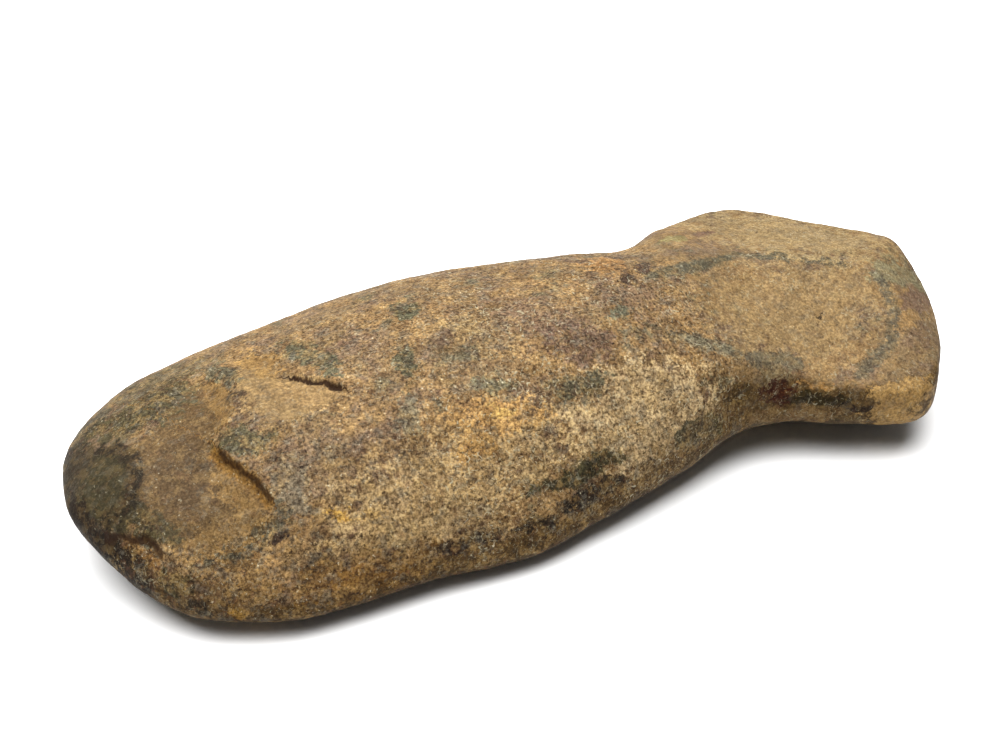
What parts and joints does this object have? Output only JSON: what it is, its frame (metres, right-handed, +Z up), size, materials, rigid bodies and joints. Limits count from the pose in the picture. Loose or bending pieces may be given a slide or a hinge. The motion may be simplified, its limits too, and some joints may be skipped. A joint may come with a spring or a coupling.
{
  "type": "polished stone axe head",
  "caption": "Waisted stone axe head with a ground cutting edge at one end, a narrow hafting waist and a faceted poll, lying on its flat belly.",
  "frame": {"origin": "on the ground, under the middle of the bounding box", "axes": "+X along the stone from the bit to the poll, +Y to the far side, +Z up through the crown"},
  "size_m": [0.152, 0.0644, 0.0291],
  "materials": {
    "stone": "ground and weathered fine-grained stone, ochre and grey-green patina, duller flake scars"
  },
  "bodies": {
    "root": {"axe_head": "stone"}
  },
  "joints": []
}
